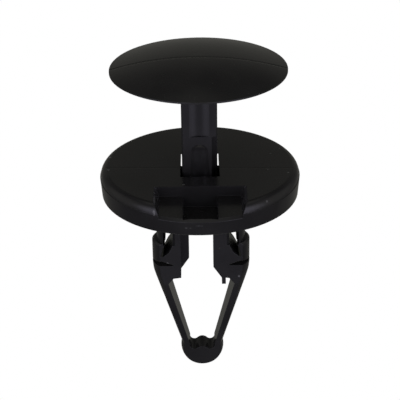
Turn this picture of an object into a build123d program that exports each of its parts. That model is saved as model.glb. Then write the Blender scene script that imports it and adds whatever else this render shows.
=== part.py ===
from build123d import *
import math
import os

# A two-piece plastic push rivet: a domed pin that slides in a moulded retainer body.
# It stands on the dome of its head, as it is put down on a bench, with the pin drawn out.
# Z runs up the rivet's axis from the top of the dome to the tip of the legs, and Y = 0 is the plane
# of the V of the legs. The pry notch of the flange faces -Y. Millimetres.

# The pin: a thin domed cap on a square shank.
cap_diameter = 17.3
dome_height = 1.3
cap_rim = 0.15
shank_width = 3.52
shank_depth = 3.4
shank_edge = 0.16
shank_end_bevel = 0.35
channel_width = 1.94
channel_depth = 0.26
scoop_radius = 1.3
scoop_length = 8.85
scoop_start_depth = 0.3
scoop_depth = 0.78

# How far the pin stands out: the gap between its cap and the flange.
pin_lift = 10.15

# The flange of the body: a plate with a rounded shoulder and a skirt. Its depths are measured from
# its face, towards the tip.
flange_diameter = 20.0
flange_depth = 2.7
skirt_draft = 0.14
skirt_wall = 1.0
plate_thickness = 1.27
shoulder_width = 0.72
shoulder_depth = 0.92
parting_ledge = 0.05

# The opening for the shank is longer than the shank, and its back wall slopes away under the face.
opening_width = 3.86
opening_front = 2.8
opening_back = 2.5
opening_back_under = 5.2

# The pry notch, where a tool gets under the cap. Its walls lean outwards and its edges are broken.
notch_width = 7.94
notch_start = 4.92
notch_depth = 1.05
notch_floor = 0.6
notch_draft = 0.32
notch_edge = 0.22
notch_lip = 0.3

# The window in the notch's floor is the mouth of a pocket, which reaches into the top of the skirt.
window_width = 3.34
window_end = 9.65
pocket_depth = 2.2

# The guide collar under the plate and the two columns that carry the barbs and the legs.
collar_end = 5.4
collar_wall = 0.65
column_gap = 4.16
column_wall = 0.79
column_bevel = 0.25
cage_depth = 3.4

# The ribs close the gap between the columns to the narrow part of the shank.
rib_gap = 2.5
rib_start = 6.5
rib_chamfer = 1.25
rib_side = 0.3
tail_inner = 2.12
tail_width = 0.4
tail_length = 0.78

# The outer flanks of the cage are arcs in plan, the same from the neck to the tip.
flank_round = 2.25

# The barbs: fingers bent back towards the flange, with a shoulder that catches the panel.
neck_diameter = 9.1
barb_diameter = 10.04
barb_shoulder = 8.12
barb_edge = 0.2
barb_height = 2.58
finger_end = 2.5
finger_wall = 0.93

# The notch between a barb and its column is drafted: it is wider and less deep at the front face
# than at the back. Each outline goes round its closed end, in (radius, depth below the shoulder)
# points, and its other side meets the column a little below the shoulder.
notch_root = 0.18
notch_front = [(3.3, 1.06), (3.9, 1.54), (4.13, 1.48), (3.93, 0.63)]
notch_back = [(3.42, 0.98), (3.8, 1.74), (3.95, 1.74), (3.7, 0.63)]

# Under each barb is a block. The wedge-shaped crevice between them is measured up from its ledge.
crevice_root = 0.1
crevice_peak = 0.58
crevice_peak_radius = 4.1
crevice_mouth = 0.3

# The block and the hip that leads to the leg of the V are measured down from the ledge.
block_height = 1.42
hip_top = 0.2
hip_middle = 1.0
hip_middle_radius = 4.95
hip_end = 1.7
hip_end_radius = 4.8
leg_top = 2.17
leg_top_inner = 3.42

# The legs run from the blocks to the floor of the V, which has a valley beside each leg and a bump
# between them, and they meet in a round tip.
leg_length = 9.19
leg_floor_radius = 2.32
leg_foot_radius = 1.3
leg_foot_height = 0.6
valley_radius = 0.88
bump_height = 0.34
bump_radius = 0.5
bump_foot_height = 0.14
tip_wall = 2.17
tip_depth = 1.76

# Clearances, each on one side.
shank_clearance = 0.05
rib_clearance = 0.05
stop_clearance = 0.12
release_gap = 0.6
seat_clearance = 0.05

# Heights above the top of the dome.
seat_height = dome_height + cap_rim
face_height = seat_height + pin_lift

cap_radius = cap_diameter / 2
flange_radius = flange_diameter / 2
neck_radius = neck_diameter / 2
barb_radius = barb_diameter / 2
skirt_inner = flange_radius - skirt_draft - skirt_wall
column_inner = column_gap / 2
column_outer = column_inner + column_wall
finger_inner = neck_radius - finger_wall

# Depths below the flange's face.
ledge_depth = barb_shoulder + barb_height
block_end = ledge_depth + block_height
floor_depth = block_end + leg_length
tip_end = floor_depth + tip_wall
leg_slope = (hip_end_radius - leg_floor_radius) / (floor_depth - ledge_depth - hip_end)

# Raised, the shank ends just short of the ribs. Pushed home, its step stops just short of them.
shank_length = pin_lift + rib_start - release_gap
groove_start = rib_start - stop_clearance
past = 1.0


def half_turn(shape):
    """The shape and its copy half a turn round the rivet's axis."""
    return shape + shape.rotate(Axis.Z, 180)


def slab(x_low, x_high, y_low, y_high, z_low, z_high):
    """A box between its limits along X, Y and Z."""
    size = (x_high - x_low, y_high - y_low, z_high - z_low)
    middle = ((x_low + x_high) / 2, (y_low + y_high) / 2, (z_low + z_high) / 2)
    return Pos(*middle) * Box(*size)


def side_plate(points, y_low, y_high):
    """A flat outline in the plane of the V, given as (x, z) points, made solid from y_low to y_high."""
    outline = Plane.XZ * make_face(Polyline(*points, close=True))
    return Pos(0, y_high, 0) * extrude(outline, y_high - y_low)


def mirrored_plate(points, y_low, y_high):
    """A side plate and its mirror image across the plane X = 0."""
    other = [(-x, z) for x, z in reversed(points)]
    return side_plate(points, y_low, y_high) + side_plate(other, y_low, y_high)


def turned(line):
    """A solid of revolution about Z from a closed line in the XZ plane."""
    return revolve(Plane.XZ * make_face(line), Axis.Z, 360)


def cap():
    """The domed cap: a shallow part of a sphere over a thin rim, with a flat seat."""
    sphere_radius = (cap_radius**2 + dome_height**2) / (2 * dome_height)
    half_way = cap_radius / 2
    sag = sphere_radius - math.sqrt(sphere_radius**2 - half_way**2)
    section = Curve() + [
        ThreePointArc((0, 0), (half_way, sag), (cap_radius, dome_height)),
        Polyline((cap_radius, dome_height), (cap_radius, seat_height), (0, seat_height), (0, 0)),
    ]
    return turned(section)


def shank():
    """The square shank, with channels near the cap, scoops towards its end and two corner grooves."""
    half_width = shank_width / 2
    half_depth = shank_depth / 2
    end = seat_height + shank_length
    step = seat_height + groove_start
    bar = slab(-half_width, half_width, -half_depth, half_depth, seat_height - cap_rim / 2, end)
    bar = chamfer(bar.faces().sort_by(Axis.Z)[-1].edges(), shank_end_bevel)
    bar = chamfer(bar.edges().filter_by(Axis.Z), shank_edge)

    channel_radius = (channel_width**2 / 4 + channel_depth**2) / (2 * channel_depth)
    channel_axis = -half_depth - channel_radius + channel_depth
    channel_length = step - seat_height
    channel = Cylinder(channel_radius, channel_length)
    channel = Pos(0, channel_axis, seat_height + channel_length / 2) * channel

    rib_edge = rib_gap / 2 - rib_clearance
    rib_top = rib_side - rib_clearance
    far = half_width + past
    groove = slab(-far, -rib_edge, -far, -rib_top, step, end + past)
    return bar - half_turn(channel) - half_turn(scoop(end)) - half_turn(groove)


def scoop(end):
    """The cutter for a scoop in the front of the shank: a round end, and deeper towards the shank's end."""
    reach = scoop_length + past
    turn = scoop_radius * math.sin(math.pi / 4)
    section = Curve() + [
        ThreePointArc((0, -scoop_radius), (turn, -turn), (scoop_radius, 0)),
        Polyline((scoop_radius, 0), (scoop_radius, reach), (0, reach), (0, -scoop_radius)),
    ]
    slope = math.degrees(math.atan((scoop_depth - scoop_start_depth) / scoop_length))
    arch = math.sqrt(scoop_radius**2 - (scoop_radius - scoop_start_depth) ** 2)
    start = end - scoop_length + arch
    place = Pos(0, -shank_depth / 2 - scoop_radius + scoop_start_depth, start)
    return place * Rot(-slope, 0, 0) * turned(section)


def flange():
    """The flange: plate, rounded shoulder and drafted skirt, with its opening, notch and window."""
    face = face_height
    shoulder_radius = flange_radius - parting_ledge
    flat_radius = shoulder_radius - shoulder_width
    rim_radius = flange_radius - skirt_draft
    shoulder = EllipticalCenterArc(
        (flat_radius, face + shoulder_depth), shoulder_width, shoulder_depth, start_angle=-90, arc_size=90
    )
    section = Curve() + [
        shoulder,
        Polyline(
            (shoulder_radius, face + shoulder_depth),
            (flange_radius, face + shoulder_depth),
            (rim_radius, face + flange_depth),
            (skirt_inner, face + flange_depth),
            (skirt_inner, face + plate_thickness),
            (0, face + plate_thickness),
            (0, face),
            (flat_radius, face),
        ),
    ]
    disc = turned(section)

    top = face + shoulder_depth
    back = -notch_start + notch_floor
    half_notch = notch_width / 2
    pad_half = half_notch + notch_floor
    pad = slab(-pad_half, pad_half, -flange_radius, back, top, face + notch_depth + notch_floor)
    half_window = window_width / 2
    box_half = half_window + notch_floor
    pad += slab(-box_half, box_half, -flange_radius, back, top, face + flange_depth)
    pad &= Pos(0, 0, face) * Cylinder(skirt_inner + skirt_wall / 2, 2 * flange_depth)
    top_half = half_notch + notch_draft
    edge_half = top_half + notch_edge
    notch_half = [
        (half_notch, face + notch_depth),
        (top_half, face + notch_edge),
        (edge_half, face),
        (edge_half + past, face - past),
    ]
    notch_outline = notch_half + [(-x, z) for x, z in reversed(notch_half)]
    notch = side_plate(notch_outline, -flange_radius - past, -notch_start) + lip_cutter()
    pocket = slab(-half_window, half_window, -window_end, -notch_start, face, face + pocket_depth)
    return disc + pad - notch - pocket - shank_opening()


def lip_cutter():
    """The cutter that breaks the outer edge of the notch's floor."""
    outer = flange_radius + past
    floor = face_height + notch_depth
    section = Polyline(
        (flange_radius - notch_lip, floor), (outer, floor), (outer, floor + notch_lip + past), close=True
    )
    half_notch = notch_width / 2
    return turned(section) & slab(-half_notch, half_notch, -outer, 0, floor - past, floor + 2 * past)


def shank_opening():
    """The cutter for the opening in the plate, from its outline seen from the side."""
    under = face_height + plate_thickness
    points = [
        (-opening_front, face_height - past),
        (opening_back, face_height - past),
        (opening_back, face_height),
        (opening_back_under, under),
        (-opening_front, under),
    ]
    outline = Plane.YZ * make_face(Polyline(*points, close=True))
    return Pos(-opening_width / 2, 0, 0) * extrude(outline, opening_width)


def collar():
    """The guide collar round the shank, between the columns."""
    inner = shank_depth / 2 + shank_clearance
    outer = inner + collar_wall
    start = face_height + plate_thickness
    end = face_height + collar_end
    tube = slab(-column_outer, column_outer, -outer, outer, start, end)
    return tube - slab(-column_inner, column_inner, -inner, inner, start - past, end + past)


def flank(upper, lower):
    """One side of the cage's blank between two (radius, depth) points, with its outer face an arc in plan."""
    radius, depth = upper
    low_radius, low_depth = lower
    half_depth = cage_depth / 2
    sag = flank_round - math.sqrt(flank_round**2 - half_depth**2)
    inner = (radius - low_radius) / 2
    corner = radius - sag
    outline = Curve() + [
        ThreePointArc((corner, -half_depth), (radius, 0), (corner, half_depth)),
        Polyline((corner, half_depth), (inner, half_depth), (inner, -half_depth), (corner, -half_depth)),
    ]
    lean = Vector(low_radius - radius, 0, low_depth - depth)
    section = Pos(0, 0, face_height + depth) * make_face(outline)
    return extrude(section, lean.length, dir=lean.normalized())


def blank():
    """The cage before its openings are cut: neck, barbs, hips and legs, each with an arc in plan."""
    line = [
        (neck_radius, plate_thickness - past / 2),
        (neck_radius, barb_shoulder),
        (barb_radius - barb_edge, barb_shoulder),
        (barb_radius, barb_shoulder + barb_edge),
        (barb_radius, ledge_depth + hip_top),
        (hip_middle_radius, ledge_depth + hip_middle),
        (hip_end_radius, ledge_depth + hip_end),
        (leg_floor_radius - leg_slope * tip_wall, tip_end),
    ]
    side = flank(line[0], line[1])
    for upper, lower in zip(line[2:], line[3:]):
        side += flank(upper, lower)
    return half_turn(side) & nose()


def nose():
    """A cone round the legs that ends in a ball, which rounds their tip."""
    face = face_height
    wide = barb_radius + past
    wide_depth = ledge_depth + hip_end - (wide - hip_end_radius) / leg_slope
    lean = math.atan(leg_slope)
    end_radius = leg_floor_radius - leg_slope * tip_wall
    radius = end_radius * math.cos(lean) / (1 - math.sin(lean))
    centre = face + tip_end - radius
    tangent = (radius * math.cos(lean), centre - radius * math.sin(lean))
    half_way = (radius * math.cos(math.pi / 4), centre + radius * math.sin(math.pi / 4))
    outline = Curve() + [
        Polyline((0, face), (wide, face), (wide, face + wide_depth), tangent),
        ThreePointArc(tangent, half_way, (0, centre + radius)),
        Line((0, centre + radius), (0, face)),
    ]
    return turned(outline)


def leg_opening():
    """The opening between the columns and legs, as one outline with a smooth floor."""
    face = face_height
    top = face + plate_thickness - past
    floor = face + floor_depth
    down = [
        (column_inner, top),
        (column_inner, face + block_end),
        (column_outer, face + block_end + barb_edge / 2),
        (leg_top_inner, face + ledge_depth + leg_top),
        (leg_foot_radius, floor - leg_foot_height),
    ]
    foot = down[-1]
    valley = (valley_radius, floor)
    bump = (bump_radius, floor - bump_foot_height)
    up = [(-x, z) for x, z in reversed(down)]
    outline = Curve() + [
        Polyline(*down),
        ThreePointArc(foot, valley, bump),
        ThreePointArc(bump, (0, floor - bump_height), (-bump[0], bump[1])),
        ThreePointArc((-bump[0], bump[1]), (-valley[0], valley[1]), (-foot[0], foot[1])),
        Polyline(*up),
        Line(up[-1], down[0]),
    ]
    reach = cage_depth / 2 + past
    return Pos(0, reach, 0) * extrude(Plane.XZ * make_face(outline), 2 * reach)


def barb_notch():
    """The cutter between a column and its barb, drafted from the front face to the back face."""
    shoulder = face_height + barb_shoulder
    top = plate_thickness - past - barb_shoulder
    half_depth = cage_depth / 2
    overrun = past / cage_depth
    ends = ([], [])
    opened = [
        (finger_inner, 0),
        (finger_inner, top),
        (column_outer, top),
        (column_outer, notch_root),
    ]
    for front, back in zip(notch_front + opened, notch_back + opened):
        for end, share in zip(ends, (-overrun, 1 + overrun)):
            x = front[0] + (back[0] - front[0]) * share
            depth = front[1] + (back[1] - front[1]) * share
            end.append((x, shoulder + depth))
    reach = half_depth + past
    front_face, back_face = [
        Pos(0, y, 0) * (Plane.XZ * make_face(Polyline(*end, close=True)))
        for end, y in zip(ends, (-reach, reach))
    ]
    return loft([front_face, back_face], ruled=True)


def column_bevel_cutter():
    """A bevel along the outer front edge of a column, down to the root of its barb."""
    half_depth = cage_depth / 2
    corner = [
        (column_outer + past, -half_depth - past),
        (column_outer - column_bevel - past, -half_depth - past),
        (column_outer - column_bevel, -half_depth),
        (column_outer, -half_depth + column_bevel),
        (column_outer + past, -half_depth + column_bevel + past),
    ]
    start = face_height + collar_end
    section = Pos(0, 0, start) * make_face(Polyline(*corner, close=True))
    return extrude(section, barb_shoulder + notch_root - collar_end)


def cage():
    """Columns, barbs, blocks and the V of the legs, cut from one blank by their side outline."""
    face = face_height
    top = face + plate_thickness
    ledge = face + ledge_depth
    far = barb_radius + 2 * past
    over_finger = [
        (finger_inner, top - past),
        (finger_inner, face + finger_end),
        (far, face + finger_end),
        (far, top - past),
    ]
    crevice = [
        (column_outer, ledge - crevice_root),
        (crevice_peak_radius, ledge - crevice_peak),
        (barb_radius, ledge - crevice_mouth),
        (far, ledge - crevice_mouth),
        (far, ledge),
        (column_outer, ledge),
    ]
    reach = cage_depth / 2 + past
    body = blank() - leg_opening()
    for outline in (over_finger, crevice):
        body -= mirrored_plate(outline, -reach, reach)
    body -= barb_notch() + barb_notch().mirror(Plane.YZ)
    front_bevels = column_bevel_cutter() + column_bevel_cutter().mirror(Plane.YZ)
    body -= half_turn(front_bevels)
    return body & depth_wedge()


def depth_wedge():
    """The side-on outline of the cage: full depth down to the legs, then a taper to the tip."""
    face = face_height
    half_depth = cage_depth / 2
    half_tip = tip_depth / 2
    end = face + tip_end
    taper_start = face + ledge_depth + leg_top
    points = [
        (-half_depth, face),
        (half_depth, face),
        (half_depth, taper_start),
        (half_tip, end),
        (-half_tip, end),
        (-half_depth, taper_start),
    ]
    outline = Plane.YZ * make_face(Polyline(*points, close=True))
    reach = barb_radius + past
    return Pos(-reach, 0, 0) * extrude(outline, 2 * reach)


def ribs():
    """One rib on each column, half a turn apart, with a chamfered end and a short tail."""
    face = face_height
    half_depth = cage_depth / 2
    rib = [
        (-rib_gap / 2, face + rib_start),
        (-rib_gap / 2, face + block_end - rib_chamfer),
        (-column_inner, face + block_end),
        (-column_inner - column_wall / 2, face + block_end),
        (-column_inner - column_wall / 2, face + rib_start),
    ]
    rib = side_plate(rib, -half_depth, -rib_side)
    tail_start = face + block_end - past
    tail_end = face + block_end + tail_length
    tail_outer = tail_inner + tail_width
    tail = slab(-tail_outer, -tail_inner, -half_depth, -rib_side, tail_start, tail_end)
    return half_turn(rib + tail)


def body():
    """The retainer body: flange, collar, cage and ribs, moulded as one piece."""
    return flange() + collar() + cage() + ribs()


def pin():
    """The pin: cap and shank, moulded as one piece."""
    return cap() + shank()


os.makedirs("parts", exist_ok=True)
for name, make in (("push_pin", pin), ("retainer_body", body)):
    solid = make()
    export_step(solid, f"parts/{name}.step")
    print(name, "volume", round(solid.volume, 2), "mm3")
print("travel", round(pin_lift - seat_clearance, 3), "mm")
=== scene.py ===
# %% [markdown]
# A push rivet has two mouldings: a domed pin, and a retainer body with a flange, barbs and V-shaped legs.
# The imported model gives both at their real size, and this file gives them their looks.
# Everything here is in metres, in the model's own frame, so nothing has to be fitted.

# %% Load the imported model
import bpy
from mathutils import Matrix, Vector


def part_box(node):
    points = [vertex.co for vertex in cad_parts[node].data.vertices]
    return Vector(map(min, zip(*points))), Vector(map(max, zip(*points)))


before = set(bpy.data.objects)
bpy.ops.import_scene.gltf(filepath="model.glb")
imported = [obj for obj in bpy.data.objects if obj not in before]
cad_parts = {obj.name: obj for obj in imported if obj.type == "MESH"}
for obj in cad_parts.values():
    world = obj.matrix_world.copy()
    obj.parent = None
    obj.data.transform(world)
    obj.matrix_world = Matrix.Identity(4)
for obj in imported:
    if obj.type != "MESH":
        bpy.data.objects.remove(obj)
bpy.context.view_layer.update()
print("pieces:", sorted(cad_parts))

# %% [markdown]
# Numpy works out shapes and camera directions, and bpy builds the scene from them. A millimetre gets a
# name of its own, because a rivet is easier to describe in millimetres than in metres.

# %% Helpers and the rivet's main heights
import math

import bpy
import numpy as np
from mathutils import Matrix, Vector

MM = 0.001
pin_low, pin_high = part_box("push_pin")
body_low, body_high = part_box("retainer_body")
face_height = body_low.z
cap_radius = (pin_high.x - pin_low.x) / 2
flange_radius = (body_high.x - body_low.x) / 2
shoulder_depth = 0.92 * MM
print("flange face at", round(face_height / MM, 2), "mm, flange radius", round(flange_radius / MM, 2), "mm")

# %% [markdown]
# The photograph looks at the rivet from its head's side, 26 degrees off the plane of the flange. The
# rivet here stands on its head, so that view is taken from below the floor, with the camera turned over.
# The camera could be placed by eye, but its position and slant were fitted to the outlines of the rivet's
# two round discs, so that the render lies over the photograph.

# %% Camera at the photograph's angle
PHOTO_SIDE = 400
FOCAL_PIXELS = 1300.0
SENSOR = 36.0
camera_distance = 130.62 * MM
camera_slant = math.radians(25.86)
camera_pitch = math.radians(27.06)
camera_roll = math.radians(-0.838)
camera_shift = 0.03 * MM
aim = Vector((0, 0, face_height + shoulder_depth))

back_off = Vector((0, -math.cos(camera_slant), -math.sin(camera_slant))) * camera_distance
camera_place = aim + Vector((camera_shift, 0, 0)) + back_off
forward = Vector((0, math.cos(camera_pitch), math.sin(camera_pitch)))
level_right = Vector((-1, 0, 0))
level_up = level_right.cross(forward)
right = level_right * math.cos(camera_roll) + level_up * math.sin(camera_roll)
up = level_up * math.cos(camera_roll) - level_right * math.sin(camera_roll)

camera_data = bpy.data.cameras.new("photo_camera")
camera_data.sensor_width = SENSOR
camera_data.lens = SENSOR * FOCAL_PIXELS / PHOTO_SIDE
camera_data.clip_start = 1 * MM
camera_data.clip_end = 10
camera = bpy.data.objects.new("photo_camera", camera_data)
bpy.context.scene.collection.objects.link(camera)
turn = Matrix((right, up, -forward)).transposed().to_4x4()
camera.matrix_world = Matrix.Translation(camera_place) @ turn
bpy.context.scene.camera = camera
print("lens", round(camera_data.lens, 1), "mm, camera at", [round(v / MM, 1) for v in camera_place])

# %% [markdown]
# A shader is a graph of nodes, and sums are easier to read as expressions. This class wraps a socket, so
# that plus, minus and times add Math nodes. The functions below it make every other node: one for any kind,
# and two that are used often, for vectors and for colours.

# %% Shader expressions
class Socket:
    """A number in a node tree, which can be added, multiplied and so on like any other number."""

    def __init__(self, tree, output):
        self.tree = tree
        self.output = output

    def math(self, operation, *others):
        """A Math node on this number and the others."""
        node = self.tree.nodes.new("ShaderNodeMath")
        node.operation = operation
        for slot, value in zip(node.inputs, (self, *others)):
            connect(self.tree, value, slot)
        return Socket(self.tree, node.outputs[0])

    def __add__(self, other):
        return self.math("ADD", other)

    def __sub__(self, other):
        return self.math("SUBTRACT", other)

    def __rsub__(self, other):
        return (self * -1.0).math("ADD", other)

    def __mul__(self, other):
        return self.math("MULTIPLY", other)

    def __abs__(self):
        return self.math("ABSOLUTE")

    __radd__ = __add__
    __rmul__ = __mul__

    def ramp(self, low, high):
        """0 below low, 1 above high, and smooth between, which may run either way."""
        smooth = {"interpolation_type": "SMOOTHSTEP"}
        node = make(self.tree, "MapRange", smooth, Value=self, From_Min=low, From_Max=high)
        return Socket(self.tree, node.outputs["Result"])


def connect(tree, value, slot):
    """Links a socket to an input, or writes a plain value into it."""
    if isinstance(value, Socket):
        tree.links.new(value.output, slot)
    elif isinstance(value, bpy.types.NodeSocket):
        tree.links.new(value, slot)
    else:
        slot.default_value = value


def make(tree, kind, settings=None, **inputs):
    """A node of one kind. Its settings come first, then its inputs, whose names have _ for a space."""
    node = tree.nodes.new("ShaderNode" + kind)
    for name, value in (settings or {}).items():
        setattr(node, name, value)
    for name, value in inputs.items():
        connect(tree, value, node.inputs[name.replace("_", " ")])
    return node


def vector_math(tree, operation, first, second=None, scale=None):
    """A Vector Math node on one or two vectors, or on a vector and a scale."""
    node = make(tree, "VectorMath", {"operation": operation})
    connect(tree, first, node.inputs[0])
    if second is not None:
        connect(tree, second, node.inputs[1])
    if scale is not None:
        connect(tree, scale, node.inputs["Scale"])
    return node


def mix_colours(tree, factor, first, second):
    """A colour that goes from first to second as factor goes from 0 to 1."""
    node = make(tree, "Mix", {"data_type": "RGBA"})
    connect(tree, factor, node.inputs[0])
    connect(tree, first, node.inputs[6])
    connect(tree, second, node.inputs[7])
    return node.outputs[2]


print("shader helpers: Socket, connect, make, vector_math, mix_colours")

# %% [markdown]
# Black plastic shows mostly what it mirrors, so the light matters as much as the material. Lamps could
# light it, but each would leave its own shape in the satin skin, so the world itself is the studio. It is
# dark, with soft panels round the rivet: two beside the camera for the upright faces, one over the head,
# one under the legs, and dim ones at the sides and behind. Each panel is a direction and a brightness, and
# it fades out smoothly. The panels in front are a little blue and the others a little yellow, as the
# photograph shows on the faces that they light. Camera rays see plain white, which is its background.

# %% World
PANEL_EDGE = 0.76  # how far a direction may turn from a panel's middle, as a cosine, before its light ends
ROOM_GLOW = 0.01
cool_panels = {
    "front left": ((0.640, -0.763, -0.087), 0.94),
    "front right": ((-0.640, -0.763, -0.087), 0.98),
    "front": ((0, -1, 0), 0.22),
    "table in front": ((0, -0.866, 0.5), 0.005),
}
warm_panels = {
    "over the head": ((0, 0, -1), 0.42),
    "backdrop": ((0, 1, 0), 0.085),
    "backdrop high": ((0, 0.866, -0.5), 0.02),
    "backdrop low": ((0, 0.866, 0.5), 0.055),
    "back left": ((0.640, 0.763, -0.087), 0.058),
    "back right": ((-0.640, 0.763, -0.087), 0.048),
    "back left low": ((0.527, 0.627, 0.574), 0.06),
    "back right low": ((-0.527, 0.627, 0.574), 0.08),
    "left side": ((0.985, 0, -0.174), 0.18),
    "right side": ((-0.985, 0, -0.174), 0.18),
    "under the legs": ((0, 0, 1), 0.55),
}
COOL = (0.97, 0.94, 1.16)
WARM = (1.03, 1.02, 0.90)

world = bpy.data.worlds.new("light_box")
bpy.context.scene.world = world
world.use_nodes = True
sky = world.node_tree
sky.nodes.clear()
sky_direction = make(sky, "TexCoord").outputs["Generated"]


def panel_light(panels):
    """The sum of the panels' light: each is its strength inside, and fades to nothing at its edge."""
    total = ROOM_GLOW
    for direction, strength in panels.values():
        facing = vector_math(sky, "DOT_PRODUCT", sky_direction, direction).outputs["Value"]
        total = Socket(sky, facing).ramp(PANEL_EDGE, 1.0) * strength + total
    return total


cool_light = vector_math(sky, "SCALE", COOL, scale=panel_light(cool_panels)).outputs["Vector"]
warm_light = vector_math(sky, "SCALE", WARM, scale=panel_light(warm_panels)).outputs["Vector"]
all_light = vector_math(sky, "ADD", cool_light, warm_light).outputs["Vector"]
room = make(sky, "Background", Strength=1.0, Color=all_light)
white = make(sky, "Background", Strength=1.0, Color=(1, 1, 1, 1))
seen = Socket(sky, make(sky, "LightPath").outputs["Is Camera Ray"])
both = make(sky, "MixShader")
connect(sky, seen, both.inputs[0])
sky.links.new(room.outputs[0], both.inputs[1])
sky.links.new(white.outputs[0], both.inputs[2])
sky.links.new(both.outputs[0], make(sky, "OutputWorld").inputs["Surface"])
print("light panels:", len(cool_panels) + len(warm_panels))

# %% [markdown]
# The floor is a wide pale disc under the dome. A square plane would do, but a disc looks the same from all
# sides. It is seen from above only: from below, and to every ray but the camera's, it is clear, so the
# photograph's view through it shows the head as it is lit.

# %% Floor
FLOOR_RADIUS = 900 * MM
FLOOR_CORNERS = 96
PAPER_WHITE = (0.86, 0.86, 0.85, 1)
angles = np.linspace(0, 2 * np.pi, FLOOR_CORNERS, endpoint=False)
rim = FLOOR_RADIUS * np.stack([np.cos(angles), np.sin(angles), np.zeros_like(angles)], axis=1)
floor_mesh = bpy.data.meshes.new("floor")
floor_mesh.from_pydata(rim.tolist(), [], [list(range(len(rim)))])
floor = bpy.data.objects.new("floor", floor_mesh)
bpy.context.scene.collection.objects.link(floor)

paper = bpy.data.materials.new("pale_paper")
paper.use_nodes = True
tree = paper.node_tree
tree.nodes.clear()
back_side = Socket(tree, make(tree, "NewGeometry").outputs["Backfacing"])
camera_ray = Socket(tree, make(tree, "LightPath").outputs["Is Camera Ray"])
shown = camera_ray * (1.0 - back_side)
sheet = make(tree, "BsdfDiffuse", Color=PAPER_WHITE)
clear = make(tree, "BsdfTransparent")
floor_mix = make(tree, "MixShader")
connect(tree, shown, floor_mix.inputs[0])
tree.links.new(clear.outputs[0], floor_mix.inputs[1])
tree.links.new(sheet.outputs[0], floor_mix.inputs[2])
tree.links.new(floor_mix.outputs[0], make(tree, "OutputMaterial").inputs["Surface"])
floor_mesh.materials.append(paper)
print("floor radius", FLOOR_RADIUS, "m")

# %% [markdown]
# Marks on a moulding are small things at known places: a parting line, a speck of dust, a scuff. Three of the
# pale marks are painted glints: small highlights painted into the colour. Each is a mask, a number that is 1
# on the mark and 0 elsewhere, worked out from the distance to a point or a line. They could be painted on an
# image, but a formula needs no picture and stays sharp at any distance.

# %% Masks for marks
SPECK_CORE = 0.45
LINE_CORE = 0.3


def place_on(tree, place):
    """The three coordinates of a place, as numbers in metres."""
    parts = make(tree, "SeparateXYZ", Vector=place)
    return [Socket(tree, parts.outputs[axis]) for axis in "XYZ"]


def speck(tree, place, centre, radius, strength, stretch=(1, 1, 1)):
    """Strength near a centre and 0 beyond a radius, both in millimetres. Stretch makes it longer by axis."""
    offset = vector_math(tree, "SUBTRACT", place, tuple(v * MM for v in centre)).outputs["Vector"]
    offset = vector_math(tree, "DIVIDE", offset, stretch).outputs["Vector"]
    distance = Socket(tree, vector_math(tree, "LENGTH", offset).outputs["Value"])
    return distance.ramp(radius * MM, radius * SPECK_CORE * MM) * strength


def line_across(tree, place, level, slope, wobble, half_width):
    """1 on a line that runs along X at Y = level + slope * X, and 0 beyond its half width."""
    x, y, _ = place_on(tree, place)
    away = abs(y - x * slope - level * MM + wobble)
    return away.ramp(half_width * MM, half_width * LINE_CORE * MM)


# Each mark is its centre and radius in millimetres and its strength, and a streak has its stretch by axis.
face = face_height / MM
dust_and_glints = [
    ((9.05, 2.0, face + 0.02), 0.22, 0.9), ((9.1, 1.1, face + 0.05), 0.13, 0.5),
    ((9.14, -0.97, face + 0.02), 0.2, 0.6), ((-6.76, -1.28, face), 0.15, 0.5),
    ((-8.7, -2.1, face + 0.03), 0.17, 0.4), ((-7.2, 2.4, face), 0.13, 0.4),
    ((-8.2, 3.6, face), 0.12, 0.3), ((-6.4, -7.6, face + 0.33), 0.22, 0.8),
    # The two marks on the blocks are painted glints: small highlights painted in the pale colour, not dust.
    ((3.51, -1.7, face + 10.45), 0.22, 0.7), ((-3.88, -1.7, face + 12.0), 0.16, 0.6),
    ((1.6, -4.5, face), 0.2, 0.4),
]
streaks = [
    ((1.25, -9.88, face + 1.92), 0.15, 0.14, (3.2, 1, 1)), ((0.1, -9.9, face + 1.65), 0.12, 0.12, (4, 1, 1)),
    # The first mark on the next line, low on the rim's front, is a painted glint: a small highlight painted
    # in the pale colour.
    ((1.6, -9.88, face + 1.25), 0.12, 0.14, (3, 1, 1)), ((4.42, -5.9, face + 0.1), 0.16, 0.45, (1, 1.6, 1)),
    ((4.4, -8.9, face + 0.75), 0.22, 0.5, (0.7, 1.6, 1.6)), ((4.42, -7.4, face + 0.3), 0.16, 0.35, (1, 9, 2)),
]
print("dust specks:", len(dust_and_glints), "scuffs:", len(streaks))

# %% [markdown]
# Both pieces are moulded in black plastic with a satin skin. The colour is nearly even, with faint clouds
# where the plastic flowed. The skin is a very fine bump, and a Bevel node rounds the edges a little, as a
# mould leaves them: the solids' own edges are left alone, so rounding only the shading is the lightest way.
# Handling has left fine scratches, which show as slightly rougher lines. A thin line of relief is the seam
# where the halves of the mould met.

# %% Black moulded plastic
BLACK = (0.0240, 0.0236, 0.0226, 1)
PALE_BLACK = (0.0310, 0.0305, 0.0290, 1)
SEAM_BLACK = (0.008, 0.008, 0.008, 1)
# The pale colour of dust and scuffs, also used for the painted glints.
DUST_AND_GLINT_WHITE = (0.42, 0.42, 0.40, 1)
CLOUD_SCALE = 240.0
PATCH_SCALE = 90.0
SKIN_SCALE = 5200.0
SCRATCH_SCALE = 2600.0
SCRATCH_STRETCH = (1.0, 0.12, 0.12)
DUST_SCALE = 620.0
DUST_PALENESS = 0.07
BROKEN_SCALE = 3500.0
SEAM_FADE = 0.2
EDGE_RADIUS = 0.07 * MM
SKIN_DEPTH = 0.02 * MM
BASE_ROUGHNESS = 0.17


def noise(tree, place, scale, detail):
    """A noise texture on a place, as a number from 0 to 1."""
    return Socket(tree, make(tree, "TexNoise", Vector=place, Scale=scale, Detail=detail).outputs["Fac"])


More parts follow.
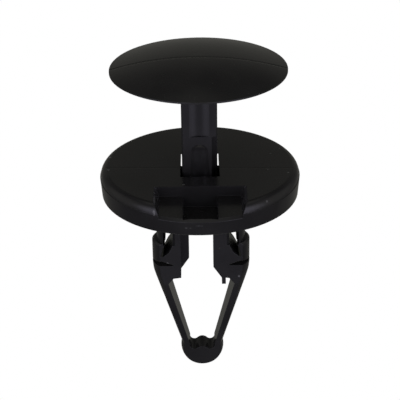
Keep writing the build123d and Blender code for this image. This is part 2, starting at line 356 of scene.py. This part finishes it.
def black_plastic(name, seam, marks):
    """Satin black plastic: clouds, fine scratches and a skin from noises, with a seam and pale marks. The
    seam is its level and slope across, its half width, the height that it ends at and its depth."""
    material = bpy.data.materials.new(name)
    material.use_nodes = True
    tree = material.node_tree
    tree.nodes.clear()
    place = make(tree, "TexCoord").outputs["Object"]
    clouds = noise(tree, place, CLOUD_SCALE, 4.0)
    patches = noise(tree, place, PATCH_SCALE, 2.0)
    skin = noise(tree, place, SKIN_SCALE, 2.0)
    drawn = vector_math(tree, "MULTIPLY", place, SCRATCH_STRETCH).outputs["Vector"]
    lines = noise(tree, drawn, SCRATCH_SCALE, 3.0)
    scratches = lines.ramp(0.62, 0.74) * patches.ramp(0.45, 0.65)
    wobble = (patches - 0.5) * 0.5 * MM
    level, slope, half_width, top, depth = seam
    z = place_on(tree, place)[2]
    seam_line = line_across(tree, place, level, slope, wobble, half_width)
    seam_line = seam_line * z.ramp(top * MM, (top - SEAM_FADE) * MM)
    cells = Socket(tree, make(tree, "TexVoronoi", Vector=place, Scale=DUST_SCALE).outputs["Distance"])
    pale = cells.ramp(0.07, 0.03) * DUST_PALENESS
    for mark in marks:
        pale = pale.math("MAXIMUM", speck(tree, place, *mark))
    pale = pale * noise(tree, place, BROKEN_SCALE, 2.0).ramp(0.32, 0.62)
    plain = mix_colours(tree, clouds.ramp(0.3, 0.7), BLACK, PALE_BLACK)
    lined = mix_colours(tree, seam_line * 0.8, plain, SEAM_BLACK)
    # The pale marks whiten the colour: dust, scuffs and three painted glints.
    colour = mix_colours(tree, pale, lined, DUST_AND_GLINT_WHITE)
    roughness = clouds.ramp(0.25, 0.75) * 0.05 + skin * 0.05 + scratches * 0.12 + pale * 0.3 + BASE_ROUGHNESS
    soft_edge = make(tree, "Bevel", {"samples": 6}, Radius=EDGE_RADIUS)
    grain = make(tree, "Bump", Strength=0.16, Distance=SKIN_DEPTH)
    connect(tree, skin + scratches * 0.6, grain.inputs["Height"])
    connect(tree, soft_edge.outputs["Normal"], grain.inputs["Normal"])
    relief = make(tree, "Bump", Strength=0.8, Distance=depth * MM)
    connect(tree, 1.0 - seam_line, relief.inputs["Height"])
    connect(tree, grain.outputs["Normal"], relief.inputs["Normal"])
    surface = make(tree, "BsdfPrincipled", IOR=1.5)
    connect(tree, colour, surface.inputs["Base Color"])
    connect(tree, roughness, surface.inputs["Roughness"])
    connect(tree, relief.outputs["Normal"], surface.inputs["Normal"])
    tree.links.new(surface.outputs[0], make(tree, "OutputMaterial").inputs["Surface"])
    return material


dome_seam = (-0.38, 0.015, 0.24, 1.35, 0.06)
face_seam = (-0.78, 0.04, 0.12, face + 0.5, 0.008)
pin_plastic = black_plastic("black_pin_plastic", dome_seam, [])
body_plastic = black_plastic("black_body_plastic", face_seam, dust_and_glints + streaks)
for node_name, material in (("push_pin", pin_plastic), ("retainer_body", body_plastic)):
    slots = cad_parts[node_name].data.materials
    slots.clear()
    slots.append(material)
    print(node_name, "wears", material.name)

# %% [markdown]
# The picture is shown with the plain Standard view, so that colours come out as they are written.

# %% View
bpy.context.scene.view_settings.view_transform = "Standard"
